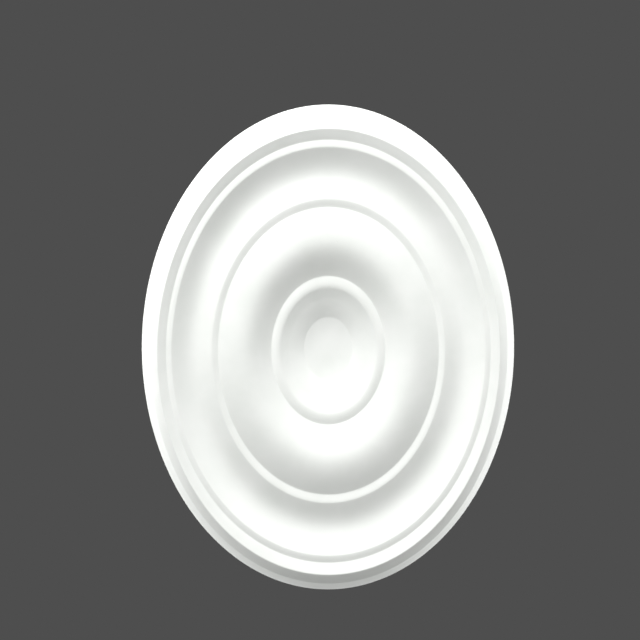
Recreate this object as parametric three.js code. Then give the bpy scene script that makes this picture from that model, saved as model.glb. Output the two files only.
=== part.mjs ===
// An oval ceiling rose, cast in one piece in white gypsum plaster.
//
// It is modelled as it hangs. Its flat back lies against the ceiling in the plane z = 0, its mouldings look down,
// and its long axis runs along Y. Millimetres, +Z up, origin at the middle of the back.
import * as THREE from "three";

// Span of the oval across its short axis
const SHORT_SPAN = 450;

// Widths of the rings, from the middle outwards, along the long half-axis
const SEAT_RADIUS = 10;
const DISC_WIDTH = 29;
const DISH_WALL_WIDTH = 25;
const DISH_SHOULDER_WIDTH = 12.5;
const INNER_LIP_WIDTH = 5.5;
const INNER_LIP_FALL_WIDTH = 10;
const SWELL_RISE_WIDTH = 44.5;
const SWELL_FALL_WIDTH = 41.5;
const MIDDLE_BEAD_WIDTH = 10.5;
const COVE_FALL_WIDTH = 30;
const COVE_RISE_WIDTH = 34.5;
const OUTER_BEAD_FALL_WIDTH = 9;
const RIM_BEAD_WIDTH = 14.5;
const RIM_FALL_WIDTH = 12.5;
const RIM_SIDE_WIDTH = 11;

// Thickness of the plaster at each crest, groove and hollow
const SEAT_THICKNESS = 8.6;
const DISC_EDGE_THICKNESS = 10.7;
const DISH_WALL_THICKNESS = 17.1;
const DISH_SHOULDER_THICKNESS = 20.5;
const INNER_LIP_THICKNESS = 21.2;
const INNER_GROOVE_THICKNESS = 20.1;
const SWELL_THICKNESS = 31;
const MIDDLE_GROOVE_THICKNESS = 22.9;
const MIDDLE_BEAD_THICKNESS = 24.1;
const COVE_THICKNESS = 18.2;
const OUTER_BEAD_THICKNESS = 26.2;
const OUTER_GROOVE_THICKNESS = 25.2;
const RIM_CREST_THICKNESS = 28.6;
const RIM_FOOT_THICKNESS = 20.8;
const EDGE_THICKNESS = 3;

// Slopes of the surface in degrees, rising outwards where positive
const DISC_EDGE_SLOPE = 8.5;
const DISH_START_SLOPE = 16.5;
const DISH_EASE_SLOPE = 12.5;
const DISH_UPPER_SLOPE = 14.5;
const DISH_SHOULDER_SLOPE = 16;
const INNER_LIP_SLOPE = -9.5;
const SWELL_START_SLOPE = 15.5;
const SWELL_END_SLOPE = -16.5;
const MIDDLE_BEAD_START_SLOPE = 6;
const MIDDLE_BEAD_END_SLOPE = -13;
const COVE_END_SLOPE = 17.5;
const OUTER_BEAD_SLOPE = -9.5;
const RIM_START_SLOPE = 15.5;
const RIM_CREST_SLOPE = 13;
const RIM_FALL_START_SLOPE = -26;
const RIM_FALL_END_SLOPE = -38;
const RIM_SIDE_START_SLOPE = -58;
const RIM_SIDE_END_SLOPE = -62;

// Facets around the oval, and along each curve of the profile
const FACETS_AROUND = 80;
const FACETS_PER_SHORT_CURVE = 2;
const FACETS_PER_CURVE = 3;
const FACETS_PER_BROAD_CURVE = 5;

const LEVEL = 0;

// The profile as a run of curves, each from the last station to the next one
function profilePoints() {
  let radius = SEAT_RADIUS;
  let thickness = SEAT_THICKNESS;
  const points = [new THREE.Vector2(0, thickness), new THREE.Vector2(radius, thickness)];

  function curveTo(width, nextThickness, slopeAtStart, slopeAtEnd, facets) {
    const start = new THREE.Vector2(radius, thickness);
    const end = new THREE.Vector2(radius + width, nextThickness);
    const reach = width / 3;
    const leave = start.clone();
    leave.x += reach;
    leave.y += reach * Math.tan(THREE.MathUtils.degToRad(slopeAtStart));
    const arrive = end.clone();
    arrive.x -= reach;
    arrive.y -= reach * Math.tan(THREE.MathUtils.degToRad(slopeAtEnd));
    const curve = new THREE.CubicBezierCurve(start, leave, arrive, end);
    points.push(...curve.getPoints(facets).slice(1));
    radius = end.x;
    thickness = end.y;
  }

  // The shallow disc in the middle, and the dish around it up to its lip
  curveTo(DISC_WIDTH, DISC_EDGE_THICKNESS, LEVEL, DISC_EDGE_SLOPE, FACETS_PER_CURVE);
  curveTo(DISH_WALL_WIDTH, DISH_WALL_THICKNESS, DISH_START_SLOPE, DISH_EASE_SLOPE, FACETS_PER_CURVE);
  curveTo(DISH_SHOULDER_WIDTH, DISH_SHOULDER_THICKNESS, DISH_UPPER_SLOPE, DISH_SHOULDER_SLOPE, FACETS_PER_SHORT_CURVE);
  curveTo(INNER_LIP_WIDTH, INNER_LIP_THICKNESS, DISH_SHOULDER_SLOPE, LEVEL, FACETS_PER_SHORT_CURVE);
  curveTo(INNER_LIP_FALL_WIDTH, INNER_GROOVE_THICKNESS, LEVEL, INNER_LIP_SLOPE, FACETS_PER_CURVE);
  // The large swelling ring between two grooves
  curveTo(SWELL_RISE_WIDTH, SWELL_THICKNESS, SWELL_START_SLOPE, LEVEL, FACETS_PER_BROAD_CURVE);
  curveTo(SWELL_FALL_WIDTH, MIDDLE_GROOVE_THICKNESS, LEVEL, SWELL_END_SLOPE, FACETS_PER_BROAD_CURVE);
  // The middle bead, and the cove that falls from it and rises to the outer bead
  curveTo(MIDDLE_BEAD_WIDTH, MIDDLE_BEAD_THICKNESS, MIDDLE_BEAD_START_SLOPE, LEVEL, FACETS_PER_CURVE);
  curveTo(COVE_FALL_WIDTH, COVE_THICKNESS, MIDDLE_BEAD_END_SLOPE, LEVEL, FACETS_PER_BROAD_CURVE);
  curveTo(COVE_RISE_WIDTH, OUTER_BEAD_THICKNESS, LEVEL, COVE_END_SLOPE, FACETS_PER_BROAD_CURVE);
  // The outer bead, its groove, and the rim with its fall and its steep side
  curveTo(OUTER_BEAD_FALL_WIDTH, OUTER_GROOVE_THICKNESS, LEVEL, OUTER_BEAD_SLOPE, FACETS_PER_CURVE);
  curveTo(RIM_BEAD_WIDTH, RIM_CREST_THICKNESS, RIM_START_SLOPE, RIM_CREST_SLOPE, FACETS_PER_CURVE);
  curveTo(RIM_FALL_WIDTH, RIM_FOOT_THICKNESS, RIM_FALL_START_SLOPE, RIM_FALL_END_SLOPE, FACETS_PER_CURVE);
  curveTo(RIM_SIDE_WIDTH, EDGE_THICKNESS, RIM_SIDE_START_SLOPE, RIM_SIDE_END_SLOPE, FACETS_PER_CURVE);
  return points;
}

function makeCeilingRose() {
  const face = profilePoints();
  const longHalf = face.at(-1).x;
  // The lathe's outline goes from the middle of the back out to the edge, and back over the mouldings to the axis
  const outline = [new THREE.Vector2(0, 0), new THREE.Vector2(longHalf, 0), ...face.reverse()];
  const geometry = new THREE.LatheGeometry(outline, FACETS_AROUND);
  geometry.rotateX(-Math.PI / 2);
  geometry.scale(SHORT_SPAN / (2 * longHalf), 1, 1);
  const plaster = new THREE.MeshStandardMaterial({ color: 0xf1f3f1, roughness: 0.75, metalness: 0 });
  const mesh = new THREE.Mesh(geometry, plaster);
  mesh.name = "ceiling_rose";
  return mesh;
}

const ceilingRose = new THREE.Group();
ceilingRose.add(makeCeilingRose());

export default ceilingRose;
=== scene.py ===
# %% [markdown]
# # An oval ceiling rose in white plaster
#
# A ceiling rose is the ornament in the middle of a ceiling, around the lamp's hook. This one has no
# leaves or flowers: it is made of smooth oval rings, and all of its looks come from how soft light falls
# on them. The lesson draws the section of the rings as one curve, runs it round the middle, presses it
# into an oval, and finishes the front as cast plaster and the back as brushed plaster.
#
# The model hangs as it does in use: its flat back is the plane z = 0, and its rings look down.

# %% Load the frame
import math

import bpy
from mathutils import Matrix, Vector


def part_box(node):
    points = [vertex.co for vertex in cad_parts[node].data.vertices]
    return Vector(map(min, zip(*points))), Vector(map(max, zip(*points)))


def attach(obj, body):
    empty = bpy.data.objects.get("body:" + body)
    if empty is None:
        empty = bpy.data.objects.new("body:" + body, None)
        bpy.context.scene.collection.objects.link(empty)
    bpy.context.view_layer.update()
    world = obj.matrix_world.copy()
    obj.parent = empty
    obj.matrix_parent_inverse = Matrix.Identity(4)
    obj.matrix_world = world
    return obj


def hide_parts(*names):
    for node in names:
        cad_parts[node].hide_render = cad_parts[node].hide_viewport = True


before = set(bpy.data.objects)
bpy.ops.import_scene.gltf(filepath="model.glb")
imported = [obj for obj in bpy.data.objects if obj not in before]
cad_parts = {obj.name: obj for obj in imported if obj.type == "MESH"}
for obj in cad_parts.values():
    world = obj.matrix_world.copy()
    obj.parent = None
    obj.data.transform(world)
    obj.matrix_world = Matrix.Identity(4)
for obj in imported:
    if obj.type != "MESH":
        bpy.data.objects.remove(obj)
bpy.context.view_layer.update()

NODE = "ceiling_rose"
low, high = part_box(NODE)
LONG_HALF = high[1]
SHORT_HALF = high[0]
MM = 0.001
print("long half-axis", LONG_HALF, "short half-axis", SHORT_HALF, "projection", -low[2])

# %% [markdown]
# ## The camera
#
# The photograph looks almost straight at the rings, from a little towards the top of the picture: each
# ring is seen shifted down against the outline by about a fifth of its height. The shift is the same for
# all of the rings, as from far away, so the camera has no perspective. It also looks a little from one
# side, and is rolled by less than a degree. It is moved aside, and not shifted, so that the rose stands
# in the picture where it does in the photograph.

# %% Place the camera
PICTURE_SIDE = 640
OUTLINE_CENTRE_PIXEL = (327.9, 346.6)
OUTLINE_HALF_WIDTH_PIXELS = 186.1
# Towards the top of the picture, to one side, and about the line of sight
VIEW_TILT = math.radians(12.6)
VIEW_ASIDE = math.radians(1.5)
VIEW_ROLL = math.radians(0.66)
CAMERA_DISTANCE = 1.5

metres_per_pixel = SHORT_HALF / OUTLINE_HALF_WIDTH_PIXELS
view_direction = Vector((math.sin(VIEW_ASIDE), math.sin(VIEW_TILT), math.cos(VIEW_TILT))).normalized()
rough_up = Vector((math.sin(VIEW_ROLL), -math.cos(VIEW_TILT), math.sin(VIEW_TILT)))
picture_right = view_direction.cross(rough_up).normalized()
picture_up = picture_right.cross(view_direction)
pixels_right = OUTLINE_CENTRE_PIXEL[0] - PICTURE_SIDE / 2
pixels_down = OUTLINE_CENTRE_PIXEL[1] - PICTURE_SIDE / 2
aim = (picture_up * pixels_down - picture_right * pixels_right) * metres_per_pixel

camera = bpy.data.objects.new("camera", bpy.data.cameras.new("camera"))
bpy.context.scene.collection.objects.link(camera)
camera.data.type = "ORTHO"
camera.data.ortho_scale = PICTURE_SIDE * metres_per_pixel
turn = Matrix((picture_right, picture_up, -view_direction)).transposed().to_4x4()
camera.matrix_world = Matrix.Translation(aim - view_direction * CAMERA_DISTANCE) @ turn
bpy.context.scene.camera = camera
print("the picture is", round(camera.data.ortho_scale, 4), "m wide")

# %% [markdown]
# ## The section of the rings
#
# A plasterer cuts the section of a moulding into a zinc template and runs it round in wet plaster. Here
# the section is a Bezier curve instead. A station of the curve is a crest, a groove or a hollow, with the
# thickness of the plaster there and the slopes of the surface on either side of it: level at a crest or a
# hollow, and different on both sides of a groove, which is what makes a groove show as a line.

# %% The stations of the section
# Width from the last station in mm, thickness in mm, slope before and after in degrees, rising outwards
STATIONS = {
    "middle of the dish": (0, 8.6, 0, 0),
    "edge of the level seat": (10, 8.6, 0, 0),
    "edge of the disc": (29, 10.7, 8.5, 16.5),
    "ease of the dish": (25, 17.1, 12.5, 14.5),
    "shoulder of the dish": (12.5, 20.5, 16, 16),
    "inner lip": (5.5, 21.2, 0, 0),
    "inner groove": (10, 20.1, -9.5, 15.5),
    "swelling ring": (44.5, 31, 0, 0),
    "middle groove": (41.5, 22.9, -16.5, 6),
    "middle bead": (10.5, 24.1, 0, -13),
    "hollow of the cove": (30, 18.2, 0, 0),
    "outer bead": (34.5, 26.2, 17.5, 0),
    "outer groove": (9, 25.2, -9.5, 15.5),
    "crest of the rim": (14.5, 28.6, 13, -26),
    "foot of the rim": (12.5, 20.8, -38, -58),
    "top of the edge": (11, 3, -62, -62),
}
CREASED = ["edge of the disc", "inner groove", "middle groove", "middle bead", "outer bead", "outer groove",
           "crest of the rim", "foot of the rim"]
mm_to_frame = LONG_HALF / sum(width for width, *_ in STATIONS.values())
print("the rings add up to the long half-axis at", round(mm_to_frame * 1000, 4), "of their size")

# %% Draw the section as a Bezier curve
POINTS_PER_CURVE = 11


def slope_handle(width, degrees):
    """The way from a station to its handle, a third of the next width along and up the slope."""
    reach = width / 3
    return Vector((reach, 0, -reach * math.tan(math.radians(degrees)))) * mm_to_frame


bpy.ops.object.select_all(action="DESELECT")
bpy.ops.curve.primitive_bezier_curve_add(radius=1, location=(0, 0, 0))
rose = bpy.context.object
rose.name = "plaster_ceiling_rose"
spline = rose.data.splines[0]
spline.bezier_points.add(len(STATIONS) - len(spline.bezier_points))
rose.data.resolution_u = POINTS_PER_CURVE

crease_radii = []
radius = 0
# The handle after the last station leads nowhere, so any width does for it
widths = [width for width, *_ in STATIONS.values()] + [1]
for number, (name, (width, thickness, slope_before, slope_after)) in enumerate(STATIONS.items()):
    radius += width
    point = spline.bezier_points[number]
    point.handle_left_type = "FREE"
    point.handle_right_type = "FREE"
    point.co = Vector((radius, 0, -thickness)) * mm_to_frame
    point.handle_left = point.co - slope_handle(width, slope_before)
    point.handle_right = point.co + slope_handle(widths[number + 1], slope_after)
    if name in CREASED:
        crease_radii.append(point.co.x)
bpy.ops.object.convert(target="MESH")
print("the section has", len(rose.data.vertices), "points and", len(crease_radii), "creases")

# %% [markdown]
# ## Rounding the creases
#
# Plaster doesn't hold a razor-sharp groove or arris: the rubber mould and the finisher's rub round them
# by about two millimetres. A vertex bevel on the section, before it is run round, rounds each one at
# once.

# %% Round the creases of the section
CREASE_ROUNDING = 2.0 * MM
CREASE_SEGMENTS = 4


def select_vertices(mesh, wanted):
    """Leaves edit mode, selects the vertices that the test wants and goes back."""
    bpy.ops.object.mode_set(mode="OBJECT")
    for vertex in mesh.vertices:
        vertex.select = wanted(vertex.co)
    for edge in mesh.edges:
        edge.select = all(mesh.vertices[index].select for index in edge.vertices)
    for face in mesh.polygons:
        face.select = all(mesh.vertices[index].select for index in face.vertices)
    bpy.ops.object.mode_set(mode="EDIT")


TOUCH = 0.01 * MM
bpy.ops.object.mode_set(mode="EDIT")
bpy.ops.mesh.select_mode(type="VERT")
select_vertices(rose.data, lambda co: any(abs(co.x - crease) < TOUCH for crease in crease_radii))
bpy.ops.mesh.bevel(offset=CREASE_ROUNDING, segments=CREASE_SEGMENTS, affect="VERTICES",
                   clamp_overlap=True)
rose.update_from_editmode()
print("the rounded section has", len(rose.data.vertices), "points")

# %% [markdown]
# ## The edge and the back
#
# The back of a cast rose is open in the mould while it sets. The caster strikes it level along the rim,
# so that it lies close against the ceiling, and brushes the field inside a little lower over a layer of
# jute scrim. The section goes on from the rim by extruding its last point: up the edge, in over the
# struck margin and on to the middle of the back in short steps, which the brush marks need later.

# %% Extrude the edge and the back
EDGE_ROUNDING = 1.0 * MM
STRUCK_MARGIN = 20 * MM
FIELD_SLOPE_WIDTH = 3 * MM
FIELD_DEPTH = 1.5 * MM
BACK_STEP = 6 * MM

field_radius = LONG_HALF - STRUCK_MARGIN - FIELD_SLOPE_WIDTH
back_steps = round(field_radius / BACK_STEP)
# The middle of a rounding lies this far in from the corner that it takes off
rounding_middle = 0.3 * EDGE_ROUNDING
back_line = [
    (LONG_HALF, -EDGE_ROUNDING),
    (LONG_HALF - rounding_middle, -rounding_middle),
    (LONG_HALF - EDGE_ROUNDING, 0),
    (LONG_HALF - STRUCK_MARGIN / 2, 0),
    (LONG_HALF - STRUCK_MARGIN, 0),
    (field_radius + FIELD_SLOPE_WIDTH / 2, -FIELD_DEPTH / 2),
]
back_line += [(field_radius * (1 - step / back_steps), -FIELD_DEPTH) for step in range(back_steps + 1)]

end = max((vertex.co.copy() for vertex in rose.data.vertices), key=lambda co: co.x)
select_vertices(rose.data, lambda co: (co - end).length < TOUCH)
for across, up in back_line:
    target = Vector((across, 0, up))
    bpy.ops.mesh.extrude_region_move(TRANSFORM_OT_translate={"value": target - end})
    end = target
print("the back adds", len(back_line), "points")

# %% [markdown]
# ## Running the section round
#
# The spin tool does what the plasterer's trammel does. The trammel draws an oval by itself; the spin
# draws a circle, which is then pressed to the short axis. That keeps each ring an oval of the same
# proportion, with its widths narrower at the sides than at the ends, as the photograph shows.

# %% Spin and press to an oval
STEPS_AROUND = 288

bpy.ops.mesh.select_all(action="SELECT")
bpy.ops.mesh.spin(steps=STEPS_AROUND, angle=2 * math.pi, center=(0, 0, 0), axis=(0, 0, 1))
bpy.ops.mesh.select_all(action="SELECT")
bpy.ops.mesh.remove_doubles(threshold=TOUCH)
bpy.ops.transform.resize(value=(SHORT_HALF / LONG_HALF, 1, 1), center_override=(0, 0, 0))
bpy.ops.mesh.normals_make_consistent(inside=False)
bpy.ops.object.mode_set(mode="OBJECT")
print("the rose has", len(rose.data.polygons), "faces")

# %% [markdown]
# ## Brushed back
#
# The brushed field isn't flat: its waves are a few tenths of a millimetre high. A Displace modifier moves
# only the vertices of the field, by a cloud texture, and is applied to the mesh.

# %% Displace the field of the back
BRUSH_HEIGHT = 1.2 * MM
BRUSH_SIZE = 30 * MM
SMOOTH_ANGLE = math.radians(40)

rose.data.update()
field_group = rose.vertex_groups.new(name="field of the back")
for vertex in rose.data.vertices:
    share = math.hypot(vertex.co.x / SHORT_HALF, vertex.co.y / LONG_HALF) * LONG_HALF
    if vertex.co.z > -FIELD_DEPTH - TOUCH and share < field_radius - TOUCH:
        field_group.add([vertex.index], 1.0, "REPLACE")
brush_texture = bpy.data.textures.new("brush waves", type="CLOUDS")
brush_texture.noise_scale = BRUSH_SIZE
brush_waves = rose.modifiers.new("brush waves", "DISPLACE")
brush_waves.texture = brush_texture
brush_waves.texture_coords = "LOCAL"
brush_waves.direction = "Z"
brush_waves.vertex_group = field_group.name
brush_waves.strength = BRUSH_HEIGHT
brush_waves.mid_level = 0.5
bpy.ops.object.modifier_apply(modifier=brush_waves.name)
bpy.ops.object.shade_smooth_by_angle(angle=SMOOTH_ANGLE)
print("highest point of the back", max(vertex.co.z for vertex in rose.data.vertices))

# %% [markdown]
# ## Colours and nodes
#
# Colours are written as sRGB hex values, as a paint chart gives them, and one function turns them to the
# linear values that a shader takes. One more function adds a node with its settings and links.

# %% Helpers for the materials


def linear(hex_colour):
    """Turns an sRGB hex colour to linear red, green, blue and alpha."""
    channels = [int(hex_colour[start:start + 2], 16) / 255 for start in (1, 3, 5)]
    return tuple(c / 12.92 if c < 0.04045 else ((c + 0.055) / 1.055) ** 2.4 for c in channels) + (1.0,)


def add_node(tree, kind, settings=None, **inputs):
    """Adds a node; an input is a value, or another node's output to link to."""
    node = tree.nodes.new(kind)
    for name, value in (settings or {}).items():
        setattr(node, name, value)
    for name, value in inputs.items():
        socket = node.inputs[name.replace("_", " ")]
        if isinstance(value, bpy.types.NodeSocket):
            tree.links.new(value, socket)
        else:
            socket.default_value = value
    return node


def per_metre(millimetres):
    """The scale of a pattern whose cells are this large."""
    return 1 / (millimetres * MM)


def new_material(name):
    """An empty material and its node tree."""
    material = bpy.data.materials.new(name)
    material.use_nodes = True
    material.node_tree.nodes.clear()
    return material, material.node_tree


# %% [markdown]
# ## Cast gypsum plaster
#
# The front is gypsum plaster cast in a rubber mould. The mould leaves it smooth and almost matt, with a
# fine grain and a few pinholes from air in the mix. Its white is faintly cloudy, because the plaster
# dries unevenly, and it leans a little to green-grey in the shade. The grain of real plaster is finer
# than a pixel of the picture, so it is drawn at 1.5 mm.

# %% The cast plaster of the front
cast_plaster, tree = new_material("cast gypsum plaster")
place = add_node(tree, "ShaderNodeTexCoord").outputs["Object"]
clouding = add_node(tree, "ShaderNodeTexNoise", Vector=place, Scale=per_metre(60), Detail=3.0,
                    Roughness=0.55)
white = add_node(tree, "ShaderNodeValToRGB", Fac=clouding.outputs["Fac"])
white.color_ramp.elements[0].position = 0.3
white.color_ramp.elements[0].color = linear("#ecefeb")
white.color_ramp.elements[1].position = 0.7
white.color_ramp.elements[1].color = linear("#f3f5f2")
sheen_patches = add_node(tree, "ShaderNodeMapRange", Value=clouding.outputs["Fac"], To_Min=0.52,
                         To_Max=0.66)
hand_finish = add_node(tree, "ShaderNodeTexNoise", Vector=place, Scale=per_metre(45), Detail=1.0)
grain = add_node(tree, "ShaderNodeTexNoise", Vector=place, Scale=per_metre(1.5), Detail=2.0)
holes = add_node(tree, "ShaderNodeTexVoronoi", Vector=place, Scale=per_metre(16), Randomness=1.0)
pinholes = add_node(tree, "ShaderNodeMapRange", Value=holes.outputs["Distance"], From_Min=0.02,
                    From_Max=0.05)
waves_bump = add_node(tree, "ShaderNodeBump", Height=hand_finish.outputs["Fac"], Strength=1.0,
                      Distance=0.12 * MM)
grain_bump = add_node(tree, "ShaderNodeBump", Height=grain.outputs["Fac"], Strength=1.0,
                      Distance=0.02 * MM, Normal=waves_bump.outputs["Normal"])
hole_bump = add_node(tree, "ShaderNodeBump", Height=pinholes.outputs["Result"], Strength=0.6,
                     Distance=0.2 * MM, Normal=grain_bump.outputs["Normal"])
plaster_shader = add_node(tree, "ShaderNodeBsdfPrincipled", Base_Color=white.outputs["Color"],
                          Roughness=sheen_patches.outputs["Result"], Normal=hole_bump.outputs["Normal"])
plaster_shader.inputs["Specular IOR Level"].default_value = 0.35
add_node(tree, "ShaderNodeOutputMaterial", Surface=plaster_shader.outputs["BSDF"])
print(cast_plaster.name, "has", len(tree.nodes), "nodes")

# %% [markdown]
# ## Brushed plaster back
#
# The back is the same plaster, brushed on over jute scrim and never rubbed down. It is creamier, because
# nobody paints it, and quite matt. Brush strokes show in its colour and in its surface, and the weave of
# the scrim shows faintly through. The scrim has a thread every 4 mm.

# %% The brushed plaster of the back
STROKE_TURN = 0.5
STROKE_STRETCH = 0.12

brushed_plaster, tree = new_material("brushed plaster over jute scrim")
place = add_node(tree, "ShaderNodeTexCoord").outputs["Object"]
drawn_out = add_node(tree, "ShaderNodeMapping", Vector=place, Rotation=(0, 0, STROKE_TURN),
                     Scale=(1.0, STROKE_STRETCH, 1.0))
strokes = add_node(tree, "ShaderNodeTexNoise", Vector=drawn_out.outputs["Vector"], Scale=per_metre(5),
                   Detail=4.0, Distortion=0.6)
blotches = add_node(tree, "ShaderNodeTexNoise", Vector=place, Scale=per_metre(50), Detail=4.0,
                    Roughness=0.6)
stroke_shades = add_node(tree, "ShaderNodeMath", {"operation": "MULTIPLY"})
for socket, pattern in zip(stroke_shades.inputs, (blotches, strokes)):
    tree.links.new(pattern.outputs["Fac"], socket)
cream = add_node(tree, "ShaderNodeValToRGB", Fac=stroke_shades.outputs["Value"])
cream.color_ramp.elements[0].position = 0.12
cream.color_ramp.elements[0].color = linear("#c9c6ba")
cream.color_ramp.elements[1].position = 0.38
cream.color_ramp.elements[1].color = linear("#e0ddd3")
THREAD_SPACING = 4
# At a scale of 1 the wave texture draws 20 radians of its wave in each metre
wave_scale = per_metre(THREAD_SPACING) * 2 * math.pi / 20
threads = [
    add_node(tree, "ShaderNodeTexWave", {"bands_direction": direction}, Vector=place, Scale=wave_scale,
             Distortion=1.0, Detail=1.0)
    for direction in ("X", "Y")
]
weave = add_node(tree, "ShaderNodeMath", {"operation": "MAXIMUM"})
for socket, thread in zip(weave.inputs, threads):
    tree.links.new(thread.outputs["Fac"], socket)
weave_bump = add_node(tree, "ShaderNodeBump", Height=weave.outputs["Value"], Strength=0.7,
                      Distance=0.25 * MM)
stroke_bump = add_node(tree, "ShaderNodeBump", Height=strokes.outputs["Fac"], Strength=1.0,
                       Distance=1.0 * MM, Normal=weave_bump.outputs["Normal"])
back_shader = add_node(tree, "ShaderNodeBsdfPrincipled", Base_Color=cream.outputs["Color"],
                       Normal=stroke_bump.outputs["Normal"])
back_shader.inputs["Roughness"].default_value = 0.85
back_shader.inputs["Specular IOR Level"].default_value = 0.25
add_node(tree, "ShaderNodeOutputMaterial", Surface=back_shader.outputs["BSDF"])
print(brushed_plaster.name, "has", len(tree.nodes), "nodes")

# %% Give the front and the back their plaster
# The front looks down and the rim's side looks aside, so only the back's faces look up
LOOKS_UP = 0.5

rose.data.materials.append(cast_plaster)
rose.data.materials.append(brushed_plaster)
back_faces = [face for face in rose.data.polygons if face.normal.z > LOOKS_UP]
for face in back_faces:
    face.material_index = 1
print(len(back_faces), "faces belong to the back")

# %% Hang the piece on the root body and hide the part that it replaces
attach(rose, "root")
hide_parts(NODE)
print(rose.name, "takes the place of", NODE)

# %% [markdown]
# ## Floor, light and background
#
# The floor is plain and pale, a tall room's height below. The main lamp is a large soft one, low on the
# side that is the top of the picture: it looks up at the rings at only 25 degrees, from far enough away
# to light all of them alike, so that the slopes that face it go white and the slopes behind each crest
# go grey. A weaker lamp on each side keeps that grey from going dark. Six rim lamps stand in a circle
# about a metre above the ceiling's plane. They light the back and the steep side of the rim, weakest at
# the bottom of the picture, where the photograph's rim is grey.

# %% The floor
FLOOR_DROP = 4.4
FLOOR_SIDE = 5

bpy.ops.object.select_all(action="DESELECT")
bpy.ops.mesh.primitive_plane_add(size=FLOOR_SIDE, location=(0, 0, -FLOOR_DROP))
floor = bpy.context.object
floor.name = "floor"
floor_paint, tree = new_material("pale matt floor")
floor_shader = add_node(tree, "ShaderNodeBsdfPrincipled")
floor_shader.inputs["Base Color"].default_value = linear("#dcdcda")
floor_shader.inputs["Roughness"].default_value = 0.9
add_node(tree, "ShaderNodeOutputMaterial", Surface=floor_shader.outputs["BSDF"])
floor.data.materials.append(floor_paint)
print("the floor is", FLOOR_DROP, "m below the ceiling")

# %% The lamps


def soft_lamp(name, azimuth, elevation, distance, side, watts):
    """A square white lamp that looks at the rose. Azimuth turns in the picture: 0 is right and 90 is up."""
    azimuth = math.radians(azimuth)
    elevation = math.radians(elevation)
    level = math.cos(elevation)
    towards = Vector((level * math.cos(azimuth), -level * math.sin(azimuth), math.sin(elevation)))
    lamp = bpy.data.objects.new(name, bpy.data.lights.new(name, "AREA"))
    bpy.context.scene.collection.objects.link(lamp)
    lamp.data.size = side
    lamp.data.energy = watts
    lamp.location = towards * distance
    lamp.rotation_euler = towards.to_track_quat("Z", "Y").to_euler()
    lamp.visible_camera = False


soft_lamp("main lamp", azimuth=103, elevation=-25, distance=6.5, side=3.5, watts=645)
soft_lamp("left lamp", azimuth=180, elevation=-38, distance=3, side=2, watts=18)
soft_lamp("right lamp", azimuth=0, elevation=-28, distance=1.1, side=0.8, watts=2.4)
RIM_LAMP_WATTS = {30: 54, 90: 25, 150: 35, 210: 64, 270: 14, 330: 62}
for azimuth, watts in RIM_LAMP_WATTS.items():
    soft_lamp("rim lamp", azimuth, elevation=22, distance=3, side=2, watts=watts)

# %% The grey background
world = bpy.data.worlds.new("even grey studio")
bpy.context.scene.world = world
world.use_nodes = True
tree = world.node_tree
tree.nodes.clear()
backdrop = add_node(tree, "ShaderNodeBackground", Color=linear("#4e4e4e"), Strength=1.0)
add_node(tree, "ShaderNodeOutputWorld", Surface=backdrop.outputs["Background"])
bpy.context.scene.view_settings.view_transform = "Standard"
print("the background is", world.name)
